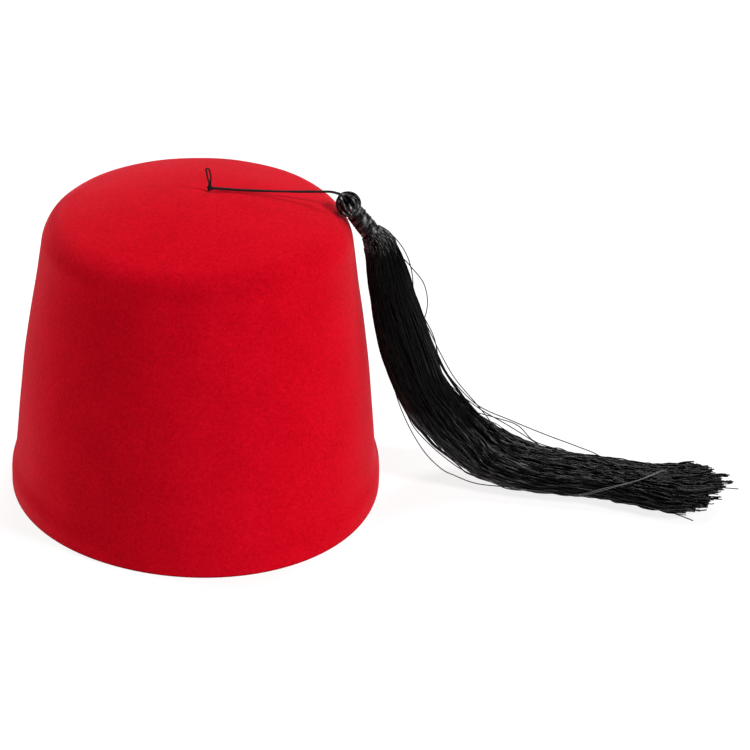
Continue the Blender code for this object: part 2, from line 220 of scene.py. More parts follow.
def waveSet(count, cycles):
    # A rate and two phases for each strand or lock.
    return cycles * perStrand(count, 0.7, 1.4), dice.uniform(0.0, 2 * pi, (2, count, 1))


def wave(waves, own, at):
    # 0.75 sin(t + p) + 0.25 sin(2.1 t + q) with t = 2 pi rate at, a wander between -1 and 1.
    turn = 2 * pi * waves[0][own] * at
    return 0.75 * sin(turn + waves[1][0][own]) + 0.25 * sin(2.1 * turn + waves[1][1][own])


def paintedShineAlong(least, waves, own, at):
    # Painted highlight along a strand: least + (1 - least) times its wave where that is above 0.
    return least + (1.0 - least) * np.maximum(0.0, wave(waves, own, at))


def evenTurns(count):
    # Angles spread evenly round a circle, each up to 0.4 of a step off its place.
    return 2 * pi * ((np.arange(count)[:, None] + perStrand(count, -0.4, 0.4)) / count)


def slowSway(count, share, low, high):
    # A sine along each strand, of its own size up to 1, with low to high half turns in it.
    return perStrand(count, -1.0, 1.0) * sin(pi * share * perStrand(count, low, high))


def setInputs(tree, node, inputs):
    # An input is linked where a socket is given, and set where a value is.
    for key, value in inputs.items():
        if isinstance(value, bpy.types.NodeSocket):
            tree.links.new(value, node.inputs[key])
        else:
            node.inputs[key].default_value = value


def addNode(tree, kind, inputs=None, **settings):
    node = tree.nodes.new("ShaderNode" + kind)
    for key, value in settings.items():
        setattr(node, key, value)
    setInputs(tree, node, inputs or {})
    return node


def newMaterial(name):
    material = bpy.data.materials.new(name)
    material.use_nodes = True
    tree = material.node_tree
    tree.nodes.clear()
    shader = addNode(tree, "BsdfPrincipled")
    addNode(tree, "OutputMaterial", {"Surface": shader.outputs["BSDF"]})
    return material, tree, shader


def colourRamp(tree, factor, stops):
    ramp = addNode(tree, "ValToRGB", {"Fac": factor})
    while len(ramp.color_ramp.elements) < len(stops):
        ramp.color_ramp.elements.new(0.5)
    for element, (place, colour) in zip(ramp.color_ramp.elements, stops):
        element.position = place
        element.color = (*colour, 1.0)
    return ramp.outputs["Color"]


feltLook = dict(
    tones=((0.36, (0.445, 0.0009, 0.0070)), (0.50, (0.57, 0.0017, 0.0105)), (0.66, (0.69, 0.0036, 0.0160))),
    cloudScale=60.0,  # soft clouds about 15 mm across
    grainScale=760.0,  # the felt's grain, 1 to 2 mm
    fibreScale=2300.0,  # single curled fibres
    fibreShare=0.35, cloudShare=0.14,  # in the mix with the grain
    bumpDepth=0.00022,
    cut=(0.16, 0.0012, 0.0030),  # painted shade along the cut edge, where the felt meets the floor
    edgeShadeHeight=0.0011, edgeShadeFull=0.3, cutShade=0.85,  # the painted shade fades out above edgeShadeFull of its height
    roughness=0.95,
    sheen=0.36,
    sheenRoughness=0.35,
    sheenTint=(1.0, 0.30, 0.35),
)


def makeFeltMaterial(look):
    # Red wool: broad clouds, a fine grain and ridged curls of fibre, all from Object coordinates, and a
    # painted shade along the cut edge at the floor, by height.
    material, tree, shader = newMaterial("redFelt")
    place = addNode(tree, "TexCoord").outputs["Object"]
    clouds = addNode(tree, "TexNoise", {
        "Vector": place, "Scale": look["cloudScale"], "Detail": 3.0})
    grain = addNode(tree, "TexNoise", {
        "Vector": place, "Scale": look["grainScale"], "Detail": 4.0, "Roughness": 0.65, "Distortion": 0.6})
    fibres = addNode(tree, "TexNoise", {
        "Vector": place, "Scale": look["fibreScale"], "Detail": 2.0, "Roughness": 0.5, "Distortion": 1.5})
    grainMix = addNode(tree, "Mix", {
        "Factor": look["fibreShare"], "A": grain.outputs["Fac"], "B": fibres.outputs["Fac"]})
    allMix = addNode(tree, "Mix", {
        "Factor": look["cloudShare"], "A": grainMix.outputs["Result"], "B": clouds.outputs["Fac"]})
    wool = colourRamp(tree, allMix.outputs["Result"], look["tones"])
    height = addNode(tree, "SeparateXYZ", {"Vector": place}).outputs["Z"]
    # painted shade of the floor contact: the wool's colour turns to the dark cut colour towards z = 0
    paintedEdgeShade = addNode(tree, "MapRange", {
        "Value": height, "From Min": look["edgeShadeFull"] * look["edgeShadeHeight"], "From Max": look["edgeShadeHeight"],
        "To Min": look["cutShade"], "To Max": 0.0})
    colour = addNode(tree, "MixRGB", {
        "Fac": paintedEdgeShade.outputs["Result"], "Color1": wool, "Color2": (*look["cut"], 1.0)})
    bump = addNode(tree, "Bump", {
        "Height": grainMix.outputs["Result"], "Strength": 0.65, "Distance": look["bumpDepth"]})
    setInputs(tree, shader, {
        "Base Color": colour.outputs["Color"], "Normal": bump.outputs["Normal"],
        "Roughness": look["roughness"], "Specular IOR Level": 0.0, "Sheen Weight": look["sheen"],
        "Sheen Roughness": look["sheenRoughness"], "Sheen Tint": (*look["sheenTint"], 1.0)})
    return material


# glossy and dull are the roughness of the shiniest and the dullest stretches, a few millimetres long
# dark is the rayon's own black; light is a painted highlight grey, mixed in by each point's painted highlight
# strength
strandLook = dict(
    dark=(0.0006, 0.0006, 0.0007), light=(0.160, 0.160, 0.165),
    glossy=0.20, dull=0.36, patchScale=260.0, specular=0.14,
)
foldedLook = dict(
    dark=(0.0008, 0.0008, 0.0009), light=(0.480, 0.480, 0.486),
    glossy=0.15, dull=0.26, patchScale=420.0, specular=0.18,
)
woundLook = dict(
    dark=(0.0008, 0.0008, 0.0009), light=(0.260, 0.260, 0.264),
    glossy=0.22, dull=0.34, patchScale=420.0, specular=0.20,
)
coreLook = dict(  # matted strands in the shade of the others
    dark=(0.0006, 0.0006, 0.0006), light=(0.0020, 0.0020, 0.0020),
    glossy=0.80, dull=0.95, patchScale=260.0, specular=0.05,
)


def makeRayonMaterial(name, look):
    # Black rayon: each strand's colour runs from black to a painted highlight grey by its own value, and a
    # gloss that comes and goes along it.
    material, tree, shader = newMaterial(name)
    place = addNode(tree, "TexCoord").outputs["Object"]
    paintedShine = addNode(tree, "Attribute", attribute_name="paintedShine").outputs["Fac"]
    patches = addNode(tree, "TexNoise", {
        "Vector": place, "Scale": look["patchScale"], "Detail": 2.0})
    gloss = addNode(tree, "MapRange", {
        "Value": patches.outputs["Fac"], "From Min": 0.3, "From Max": 0.7,
        "To Min": look["glossy"], "To Max": look["dull"]})
    setInputs(tree, shader, {
        "Base Color": colourRamp(tree, paintedShine, ((0.0, look["dark"]), (1.0, look["light"]))),
        "Roughness": gloss.outputs["Result"], "Specular IOR Level": look["specular"]})
    return material


threadLook = dict(
    dark=(0.004, 0.0030, 0.0032),
    light=(0.022, 0.017, 0.018),
    ridgesPerMetre=2600.0,  # fine yarns across each ply
    slant=3.0,
    bumpDepth=0.00006,
    roughness=0.60,
    specular=0.20,
)


def makeThreadMaterial(look):
    # Twisted thread: fine slanting yarns from the piece's own UV map, along in metres and round in turns.
    material, tree, shader = newMaterial("blackThread")
    place = addNode(tree, "TexCoord").outputs["UV"]
    parts = addNode(tree, "SeparateXYZ", {"Vector": place})
    along = addNode(tree, "Math", {
        0: parts.outputs["X"], 1: look["ridgesPerMetre"]}, operation="MULTIPLY")
    slanted = addNode(tree, "Math", {
        0: parts.outputs["Y"], 1: look["slant"], 2: along.outputs[0]}, operation="MULTIPLY_ADD")
    turn = addNode(tree, "Math", {0: slanted.outputs[0], 1: 2 * math.pi}, operation="MULTIPLY")
    ripple = addNode(tree, "Math", {0: turn.outputs[0]}, operation="SINE")
    ridge = addNode(tree, "MapRange", {
        "Value": ripple.outputs[0], "From Min": -1.0, "From Max": 1.0}).outputs["Result"]
    bump = addNode(tree, "Bump", {
        "Height": ridge, "Strength": 0.6, "Distance": look["bumpDepth"]})
    # the colour follows the same ridges: painted shade in the grooves between the yarns, lighter on their
    # crests
    setInputs(tree, shader, {
        "Base Color": colourRamp(tree, ridge, ((0.0, look["dark"]), (1.0, look["light"]))),
        "Normal": bump.outputs["Normal"], "Roughness": look["roughness"],
        "Specular IOR Level": look["specular"]})
    return material


redFelt = makeFeltMaterial(feltLook)
strandRayon = makeRayonMaterial("strandRayon", strandLook)
foldedRayon = makeRayonMaterial("foldedRayon", foldedLook)
woundRayon = makeRayonMaterial("woundRayon", woundLook)
coreRayon = makeRayonMaterial("coreRayon", coreLook)
blackThread = makeThreadMaterial(threadLook)
print("materials")


crown = dict(
    rimHalfWidth=0.086, rimOval=1.18, ovalEase=0.35,
    height=0.142, domeRadius=0.200,
    shoulderRadius=0.0165, shoulderReach=0.0545,
    wallFoot=0.0857, wallBelly=0.0014, thickness=0.0025,
    rimUpright=0.006, rimBlend=0.015,
    twoWave=-0.0010, threeWave=-0.0019, threeTurn=math.radians(61),
    centring=(0.0008, -0.0017),
    edgeRound=0.0007, edgeSquare=0.55,  # the cut edge's corners; below 1 it is squarer than round
    softness=0.00010, softRates=(90.0, 260.0),  # how far and how fast the felt's face wanders
    pucker=0.00035,  # dip where the thread goes through the top
    puckerWidth=0.0022,
    columns=264, domeRows=26, shoulderRows=20, wallRows=48, edgeRows=9,
)
knot = dict(
    x=0.0061, y=0.0018, width=0.0030, height=0.0022, gap=0.0003,
    radius=0.00046, turns=9.0, waist=0.24, steps=260, sides=10,
)


def shoulderHeight():
    # The shoulder's arc touches the dome from inside.
    c = crown
    return c["height"] - c["domeRadius"] + math.sqrt(
        (c["domeRadius"] - c["shoulderRadius"]) ** 2 - c["shoulderReach"] ** 2)


def crownProfile():
    # Radius and height from the middle of the top: dome arc, shoulder arc, then the leaning wall down
    # to the cut edge, with its sin-squared belly and its upright foot.
    c = crown
    rise = shoulderHeight()
    inward = c["wallFoot"] - c["shoulderReach"]
    lean = math.atan2(inward, rise) - math.asin(c["shoulderRadius"] / math.hypot(inward, rise))
    domeEnd = math.asin(c["shoulderReach"] / (c["domeRadius"] - c["shoulderRadius"]))
    dome = domeEnd * np.linspace(0.0, 1.0, c["domeRows"], endpoint=False)
    arc = np.linspace(domeEnd, math.pi / 2 - lean, c["shoulderRows"])
    radius = [c["domeRadius"] * sin(dome), c["shoulderReach"] + c["shoulderRadius"] * sin(arc)]
    height = [c["height"] - c["domeRadius"] + c["domeRadius"] * cos(dome),
              rise + c["shoulderRadius"] * cos(arc)]
    top = height[1][-1]
    z = top + (c["edgeRound"] - top) * np.linspace(0.0, 1.0, c["wallRows"] + 1)[1:]
    share = np.clip((z - c["rimUpright"]) / (top - c["rimUpright"]), 0.0, 1.0)
    leaning = c["wallFoot"] - z * math.tan(lean) + c["wallBelly"] * sin(pi * share) ** 2
    upright = 1.0 - ease(c["rimUpright"], c["rimBlend"], z)
    radius.append(leaning + (c["rimHalfWidth"] - leaning) * upright)
    height.append(z)
    return np.concatenate(radius), np.concatenate(height)


def knotCentre():
    # A gap and half the knot's height above the dome, which is height - R + sqrt(R^2 - reach^2) there.
    c = crown
    reach = math.hypot(knot["x"] - c["centring"][0], knot["y"] - c["centring"][1])
    dome = c["height"] - c["domeRadius"] + math.sqrt(c["domeRadius"] ** 2 - reach**2)
    return np.array((knot["x"], knot["y"], dome + knot["gap"] + knot["height"] / 2))


head = dict(centre=np.array((0.0688, 0.0062, 0.1350)), radius=0.0061)
collar = np.array((0.0800, 0.0039, 0.1216))
cord = dict(
    diameter=0.0013,
    pitch=0.0026,  # one whole turn of the two plies
    waist=0.36,  # depth of the groove between them
    uneven=((0.08, 0.0071, 0.0), (0.06, 0.0032, 1.0)),  # waves of its thickness: share, metres, phase
    twistDrift=2.5, driftEvery=0.009,  # its twist is tighter here and looser there
    tuck=0.0009,  # its end goes this far into the knot
    sidestep=0.0001,  # and this far behind the knot's middle
    touch=(-0.62, 0.06, 0.78),  # where it meets the tassel's head, seen from its middle
    route=((0.0200, 0.0028, 0.1423), (0.0310, 0.0037, 0.1417), (0.0450, 0.0048, 0.1413),
           (0.0560, 0.0056, 0.1412), (0.0612, 0.0060, 0.1410)),
    steps=520, sides=14,
)


def threadPiece(name, node, lines, radii, hint, twist, look):
    # Two-ply thread, with the UV map that its fine yarns follow: metres along, and share of the way round.
    lines = lines[None] if lines.ndim == 2 else lines
    points, sets = tubes(lines, radii, hint, look["sides"], twist, look["waist"])
    steps = np.linalg.norm(np.diff(lines, axis=1), axis=2)
    along = np.concatenate((np.zeros((len(lines), 1)), np.cumsum(steps, axis=1)), axis=1)
    uvs = np.stack(np.broadcast_arrays(along[..., None], np.arange(look["sides"]) / look["sides"]), axis=-1)
    return buildPiece(name, points, sets, blackThread, [node], uvs=uvs.reshape(-1, 2))


def cordLine():
    # Out of the knot's side, straight over the crown, then down onto the tassel's head.
    start = knotCentre() + np.array((knot["width"] / 2 - cord["tuck"], cord["sidestep"], 0.0))
    end = head["centre"] + unit(np.array(cord["touch"])) * head["radius"]
    return evenLine([start, *cord["route"], end], cord["steps"])


def makeCord():
    # Its radius is half the diameter times 1 plus two slow sines, and a third one shifts its twist.
    line = cordLine()
    length = lineLength(line)
    along = np.linspace(0.0, length, cord["steps"])
    slack = sum(size * sin(along / every + phase) for size, every, phase in cord["uneven"])
    twist = 2 * pi * along / cord["pitch"] + cord["twistDrift"] * sin(along / cord["driftEvery"])
    radii = cord["diameter"] / 2 * (1.0 + slack)
    piece = threadPiece("cordTwisted", "tassel_cord", line, radii, (0.0, 0.0, 1.0), twist, cord)
    return piece, line, length


cordPiece, cordPath, cordLength = makeCord()
print(f"cord, {cordLength * 1000:.1f} mm")


def ovalPress(radius, height, angle):
    # Plan of the crown at a height: x = (r + wave) cos a, y = (r oval + wave) sin a. The oval and the
    # two low waves of the worn rim fade towards the shoulder.
    c = crown
    climb = np.clip((height - c["rimUpright"]) / (shoulderHeight() - c["rimUpright"]), 0.0, 1.0)
    bow = c["ovalEase"]
    climb = np.where(climb < bow, climb**2 / (2 * bow), climb - bow / 2) / (1 - bow / 2)
    oval = c["rimOval"] + (1.0 - c["rimOval"]) * climb
    bend = c["twoWave"] * sin(2 * angle) + c["threeWave"] * cos(3 * angle - c["threeTurn"])
    bend = bend * (1.0 - climb)
    x = (radius + bend) * cos(angle) + c["centring"][0]
    y = (radius * oval + bend) * sin(angle) + c["centring"][1]
    return np.stack([x, y, np.broadcast_to(height, x.shape)], axis=-1)


def gridNormals(grid):
    # Cross product of the steps down a grid and round it.
    down = np.gradient(grid, axis=0)
    sideways = np.roll(grid, -1, axis=1) - np.roll(grid, 1, axis=1)
    return unit(np.cross(down, sideways))


def softWander(points, size, rates, count=9):
    # A sum of a few sine waves in random directions, at rates between the two, in radians per metre.
    directions = unit(dice.normal(size=(count, 3))) * perStrand(count, *rates)
    phases = dice.uniform(0.0, 2 * pi, count)
    return size * sin(points @ directions.T + phases).sum(axis=-1) / math.sqrt(count)


def makeCrown():
    # Outer face pressed from the profile, inner face one thickness inside it along the normals, and a
    # rounded cut edge between: half the thickness times cos a across, and edgeRound times 1 - sin a up,
    # with cos a and sin a raised to the power of edgeSquare.
    c = crown
    radius, height = crownProfile()
    angle = 2 * pi * np.arange(c["columns"]) / c["columns"]
    outer = ovalPress(radius[:, None], height[:, None], angle[None, :])
    normals = gridNormals(outer)
    normals[0] = (0.0, 0.0, 1.0)
    fade = np.clip(height / c["rimBlend"], 0.0, 1.0)[:, None]
    wander = softWander(outer, c["softness"], c["softRates"]) * fade
    wander[0] = wander[0].mean()
    away = np.hypot(outer[..., 0] - knot["x"], outer[..., 1] - knot["y"])
    pucker = c["pucker"] * bell(away, 0.0, c["puckerWidth"])
    inner = outer - c["thickness"] * normals
    outer = outer + (wander - pucker)[..., None] * normals
    middle, half = (outer[-1] + inner[-1]) / 2, (outer[-1] - inner[-1]) / 2
    turn = pi * (np.arange(c["edgeRows"]) + 0.5) / c["edgeRows"]
    across = np.sign(cos(turn)) * np.abs(cos(turn)) ** c["edgeSquare"]
    edge = middle + across[:, None, None] * half
    edge[..., 2] = (c["edgeRound"] * (1.0 - sin(turn) ** c["edgeSquare"]))[:, None]
    edge[..., 2] -= edge[..., 2].min()
    rows = np.concatenate((outer[1:], edge, inner[:0:-1]))
    points = np.concatenate((outer[:1, 0], rows.reshape(-1, 3), inner[:1, 0]))
    walls = gridFaces(len(rows), c["columns"], outwardDown=True) + 1
    ring = np.arange(c["columns"])
    after = (ring + 1) % c["columns"]
    last = (len(rows) - 1) * c["columns"] + 1
    topFan = np.stack([np.zeros_like(ring), ring + 1, after + 1], axis=-1)
    innerFan = np.stack([np.full_like(ring, len(points) - 1), last + after, last + ring], axis=-1)
    return buildPiece("crownFelt", points, [walls, topFan, innerFan], redFelt, ["felt_crown"])


makeCrown()
print("felt crown")


loop = dict(
    thread=0.0009, height=0.0088, width=0.0016, lean=-0.0013,
    closed=0.24, open=0.54,  # shares of the height where the legs part and where they stand apart
    legGap=0.45,  # half the distance between their middles at the foot, in threads
    turns=0.12,  # how far they wind round each other there
    sink=0.0009,  # the legs go down into the knot
    pitch=0.0017, waist=0.34, steps=240, sides=12, legSamples=18, archSamples=9,
)


def makeLoop():
    # Two legs wound round each other that part half way up, and a half circle over them, leaning a little.
    foot = knotCentre() + np.array((0.0, 0.0, knot["height"] / 2 + knot["gap"]))
    near, wide = loop["thread"] * loop["legGap"], loop["width"] / 2
    archFoot = loop["height"] - wide - loop["thread"] / 2
    climb = np.linspace(-loop["sink"], archFoot, loop["legSamples"])[:-1]
    part = ease(loop["closed"] * archFoot, loop["open"] * archFoot, climb)
    half = near + (wide - near) * part
    spin = 2 * pi * loop["turns"] * (1.0 - climb / archFoot) * (1.0 - part)
    arch = np.linspace(0.0, pi, loop["archSamples"])
    x = np.concatenate((-half * cos(spin), -wide * cos(arch), (half * cos(spin))[::-1]))
    y = np.concatenate((-half * sin(spin), 0.0 * arch, (half * sin(spin))[::-1]))
    z = np.concatenate((climb, archFoot + wide * sin(arch), climb[::-1]))
    drift = loop["lean"] * (z / loop["height"]) ** 2
    line = evenLine(foot + np.stack([x + drift, y, z], axis=-1), loop["steps"])
    twist = 2 * pi * np.linspace(0.0, lineLength(line), loop["steps"]) / loop["pitch"]
    return threadPiece("loopThread", "top_loop", line, loop["thread"] / 2, (0.0, 1.0, 0.0), twist, loop)


def makeKnot():
    # Overhand knot: the line of a trefoil, x = sin t + 2 sin 2t, y = cos t - 2 cos 2t, z = -sin 3t.
    t = np.linspace(0.0, 2 * pi, knot["steps"])
    flat = (knot["width"] / 2 - knot["radius"]) / 3.0
    tall = knot["height"] / 2 - knot["radius"]
    line = knotCentre() + np.stack([
        flat * (sin(t) + 2 * sin(2 * t)),
        flat * (cos(t) - 2 * cos(2 * t)),
        -tall * sin(3 * t)], axis=-1)
    twist = 2 * pi * np.linspace(0.0, knot["turns"], knot["steps"])
    return threadPiece("knotThread", "anchor_knot", line, knot["radius"], (0.0, 0.0, 1.0), twist, knot)


makeLoop()
makeKnot()
print("loop and knot")


neckAxis = unit(collar - head["centre"])  # from the head to the skirt
neckSide = unit(np.cross(neckAxis, (0.0, 1.0, 0.0)))
neckFront = np.cross(neckAxis, neckSide)

headStrands = dict(
    count=54, radius=0.00043, sides=8, steps=30,
    topAngle=5.0, endAngle=146.0,  # degrees from the pole that faces away from the skirt
    drift=16.0, swayRates=(0.6, 1.8),  # how far in degrees, and how fast, a strand leaves its meridian
    depth=0.00040,
    lobes=7, lobeDepth=0.0011, lobeBend=0.8,  # the strands lie in a few fat lobes, bent sideways
    dashWaves=2.4, dashLeast=0.10, rare=2,  # painted highlight stretches of a strand, and how few strands have them
    ballDepth=0.0010, ballSteps=24, ballSides=36, ballTip=0.04,  # the plain ball under them
)
hitch = dict(
    radius=0.00042, turns=5, waist=0.2, steps=60, sides=8,
    lift=0.00030, sink=0.00055,  # it starts on the strands and ends among them
    ends=((52.0, 50.0), (28.0, 34.0)),  # each ply's end: degrees round, and from the pole
)
winding = dict(
    ballRadius=0.0043, radius=0.0046, start=0.0042,  # the winding widens from the ball to the collar
    endDrop=0.0003, endReach=0.06,  # and draws in a little at the ball
    turns=12, depth=0.00024, evenDepth=0.9,  # of flat floss; the radius is met at evenDepth of its depth
    waver=0.22,  # how far a turn strays from its place, in turns
    wavers=((1.0, 3.3, 2), (0.6, 7.1, -1)),  # waves of that: share, waves along, waves round
    lumps=0.00010, lumpRates=(700.0, 2200.0),  # of the uneven core
    # painted highlights on the crests of the turns: their size, how fast their patches wander, and the least
    crestHighlight=0.8, shineRates=(1300.0, 3000.0), shineLeast=0.05,
    rows=190, columns=64,
    # a few loose turns over the close ones
    loose=dict(turns=4, radius=0.00017, samples=48, ends=(0.02, 0.97), sway=0.9, swayWaves=1.7, paintedShine=0.10,
               sides=6),
)


def neckOut(turn):
    # The way out from the neck's axis at an angle round it.
    return cos(turn)[..., None] * neckSide + sin(turn)[..., None] * neckFront


def onHead(polar, turn, radius):
    # Place on a ball round the head's middle, by angle from its pole and angle round the neck's axis.
    return head["centre"] + radius[..., None] * (
        -cos(polar)[..., None] * neckAxis + sin(polar)[..., None] * neckOut(turn))


def ballSurface(radius, look):
    # A plain ball under the strands: a tube along the axis whose radius follows a half circle.
    turn = np.linspace(look["ballTip"], pi - look["ballTip"], look["ballSteps"])
    line = head["centre"] - radius * cos(turn)[:, None] * neckAxis
    return tubes(line, radius * sin(turn), neckSide, look["ballSides"])


def makeHead():
    # Strands folded over the ball: each follows its meridian, drifting by a slow sine of its own, and
    # lies lower between the lobes, by 1 - |cos| of half the lobe count times its angle.
    h = headStrands
    count = h["count"]
    share = np.linspace(0.0, 1.0, h["steps"])[None, :]
    home = evenTurns(count)
    polar = np.radians(h["topAngle"] + (h["endAngle"] - h["topAngle"]) * share)
    turn = home + np.radians(h["drift"]) * slowSway(count, share, *h["swayRates"])
    deep = h["depth"] * perStrand(count)
    lobe = 1.0 - np.abs(cos(h["lobes"] / 2 * turn + h["lobeBend"] * sin(polar)))
    radius = head["radius"] - h["radius"] - deep - h["lobeDepth"] * lobe * sin(polar)
    strands = tubes(onHead(polar, turn, radius), h["radius"], neckAxis, h["sides"])
    # painted highlights in the colour: a few strands pale in stretches
    dashes = paintedShineAlong(h["dashLeast"], waveSet(count, h["dashWaves"]), np.arange(count), share)
    paintedShines = np.repeat((perStrand(count) ** h["rare"] * dashes).ravel(), h["sides"])
    points, sets = joined([strands, ballSurface(head["radius"] - h["ballDepth"], h)])
    paintedShines = np.concatenate((paintedShines, np.zeros(len(points) - len(paintedShines))))
    return buildPiece("headStrands", points, sets, foldedRayon, ["tassel_head"], paintedShines=paintedShines)


def makeHitch():
    # The cord's two plies part at the ball's top and run down over its front.
    start = unit(np.array(cord["touch"]))
    polarStart = math.acos(float(np.dot(start, -neckAxis)))
    turnStart = math.atan2(float(np.dot(start, neckFront)), float(np.dot(start, neckSide)))
    share = np.linspace(0.0, 1.0, hitch["steps"])
    radius = head["radius"] + hitch["lift"] - hitch["sink"] * share**3
    lines = []
    for shift, end in hitch["ends"]:
        polar = polarStart + (math.radians(end) - polarStart) * share
        turn = turnStart + math.radians(shift) * sin(pi / 2 * share)
        lines.append(onHead(polar, turn, radius))
    twist = 2 * pi * share * hitch["turns"]
    return threadPiece("hitchThread", "tassel_head", np.stack(lines), hitch["radius"], neckAxis, twist, hitch)


def neckPoint(share, turn, radius):
    # Place round the neck's axis, by share of the winding's length, angle and distance from the axis.
    length = float(np.linalg.norm(collar - head["centre"])) - winding["start"]
    along = winding["start"] + length * share
    return head["centre"] + along[..., None] * neckAxis + radius[..., None] * neckOut(turn)


def neckRadius(share):
    # Radius of the winding: a straight line from end to end, less drop times exp(-(s / reach)^2).
    w = winding
    straight = w["ballRadius"] + (w["radius"] - w["ballRadius"]) * share
    return straight - w["endDrop"] * bell(share, 0.0, w["endReach"])


def makeNeck():
    # Flat floss wound close round the strands. The radius rises over each turn as half an ellipse, depth
    # times sqrt(1 - u^2) with u from -1 to 1 across the turn, and swells with the lumps of the strands
    # under it. A few loose turns cross over it.
    w = winding
    share, turn = np.broadcast_arrays(
        np.linspace(0.0, 1.0, w["rows"])[:, None], 2 * pi * np.arange(w["columns"]) / w["columns"])
    stray = sum(size * w["waver"] * sin(2 * pi * along * share + times * turn)
                for size, along, times in w["wavers"])
    across = 2.0 * np.mod(w["turns"] * share - turn / (2 * pi) + stray, 1.0) - 1.0
    crest = np.sqrt(1.0 - across**2)
    plain = neckPoint(share, turn, neckRadius(share))
    lump = softWander(plain, w["lumps"], w["lumpRates"])
    wall = neckPoint(share, turn, neckRadius(share) + w["depth"] * (crest - w["evenDepth"]) + lump)
    loose = w["loose"]
    along = np.linspace(*loose["ends"], loose["turns"] * loose["samples"])
    sway = loose["sway"] * sin(2 * pi * loose["swayWaves"] * along)
    winds = 2 * pi * loose["turns"] * along + sway
    over = neckPoint(along, winds, neckRadius(along) + 0.5 * loose["radius"])
    over = tubes(over, loose["radius"], neckAxis, loose["sides"])
    points, sets = joined([(wall.reshape(-1, 3), closedGrid(w["rows"], w["columns"])), over])
    # painted highlight on the crests of the turns and painted shade in the grooves between, in wandering
    # patches; the loose turns carry a faint painted highlight
    crestHighlight = crest**2 * np.clip(w["shineLeast"] + softWander(plain, w["crestHighlight"], w["shineRates"]), 0.0, 1.0)
    paintedShines = np.concatenate((crestHighlight.ravel(), np.full(len(over[0]), loose["paintedShine"])))
    return buildPiece("neckWinding", points, sets, woundRayon, ["neck_binding"], paintedShines=paintedShines)


headPiece = makeHead()
hitchPiece = makeHitch()
neckPiece = makeNeck()
print("tassel head and neck")


# The skirt's middle line from the collar to the cut end: x, y, z, and the bundle's half sizes
# upward and level across.
skirtRows = (
    (0.0800, 0.0039, 0.1216, 0.0046, 0.0046),
    (0.0813, 0.0037, 0.1200, 0.0058, 0.0058),
    (0.0827, 0.0035, 0.1180, 0.0069, 0.0069),
    (0.0849, 0.0030, 0.1123, 0.0080, 0.0080),
    (0.0870, 0.0023, 0.1040, 0.0092, 0.0091),
    (0.0910, 0.0010, 0.0879, 0.0107, 0.0106),
    (0.0970, -0.0002, 0.0673, 0.0120, 0.0120),
    (0.1053, -0.0008, 0.0460, 0.0127, 0.0130),
    (0.1174, -0.0013, 0.0284, 0.0133, 0.0143),
    (0.1334, -0.0022, 0.0146, 0.0119, 0.0156),
    (0.1523, -0.0074, 0.0089, 0.0093, 0.0163),
    (0.1709, -0.0124, 0.0081, 0.0085, 0.0147),
    (0.1895, -0.0156, 0.0077, 0.0081, 0.0132),
    (0.2080, -0.0198, 0.0073, 0.0077, 0.0148),
    (0.2265, -0.0218, 0.0069, 0.0073, 0.0180),
    (0.2475, -0.0190, 0.0066, 0.0070, 0.0184),
)
skirt = dict(
    topRadius=0.00022, tailRadius=0.00030, sides=4,  # a strand at the collar and where it is crimped
    thickens=(0.2, 0.6), uneven=(0.8, 1.2),  # where it grows, and how strands differ
    upperSamples=26, lowerSamples=108, change=0.36,  # closer samples past this share of the length
    rings=(
        # name, locks, strands in each, how far out, size of a lock, wander, loose waves
        ("skirtHeart", 8, 5, 0.34, 0.22, 0.05, 0.00),
        ("skirtInner", 14, 8, 0.64, 0.17, 0.05, 0.00),
        ("skirtOuterA", 13, 12, 0.86, 0.15, 0.05, 0.01),
        ("skirtOuterB", 13, 12, 0.86, 0.15, 0.05, 0.01),
        ("skirtLoose", 150, 1, 0.95, 0.04, 0.08, 0.05),
    ),
    ribbons=(
        # degrees round the bundle, share of its length, half length, lift, strands
        (84.0, 0.36, 0.075, 0.06, 14),
        (112.0, 0.46, 0.060, 0.04, 8),
        (-98.0, 0.44, 0.080, 0.05, 9),
    ),
    ribbonRing=(0.95, 0.035, 0.01, 0.0),  # how far out, size, wander and loose waves of each
    ribbonShift=0.02, ribbonLift=(0.8, 1.1),  # how its strands differ
    ribbonGap=0.20, ribbonSpan=0.75,  # the rest of the bundle draws in under a ribbon
    lockShift=0.35,  # a lock's place round the bundle, off by up to this share of a step
    lockTurns=2.0,  # a lock twists up to this many times over its length
    lockWaves=(2.2, 2.6, 3.2),  # waves along it: sideways, in and out, and of its girth
    sideways=2.2, inOut=0.6, girth=0.3, lockFlat=1.3,
    freeBy=0.10,  # the locks wander fully from this share of the length
    looseMost=3.0, looseAt=(0.1, 1.0), looseHalf=(0.03, 0.12),  # a loose wave's most, place, half length
    rootTuck=0.0014, rootDraw=0.12,  # the strands start this far inside the winding
    rootSize=(0.95, 0.05), rootBy=0.05,  # and take their full place by rootBy
    crimped=(0.25, 0.65),  # the crimp grows between these shares of the length
    crimpTop=0.00004, crimpTail=0.00024,
    crimpLock=0.00034,  # the waves that all strands of a lock share
    crimpWaves=15,  # along the whole skirt, each about 15 mm long
    ragged=0.0038, raggedStrand=0.0010,
    looseShort=0.0022,  # single strands end a little before the locks
    upperShort=0.0150, lowerShort=0.0130,  # the cut end is rounded, seen from above its front
    roundness=1.2, tipShort=0.0010,
    endLean=math.radians(36), endLead=0.30,  # which way its upper edge faces, and where it is longest
    tuft=(0.92, 1.0), tuftGather=0.76,  # a lock draws together by this share at its cut end
    splay=(0.88, 1.02), splayLock=0.0011, splayStrand=0.0005,
)
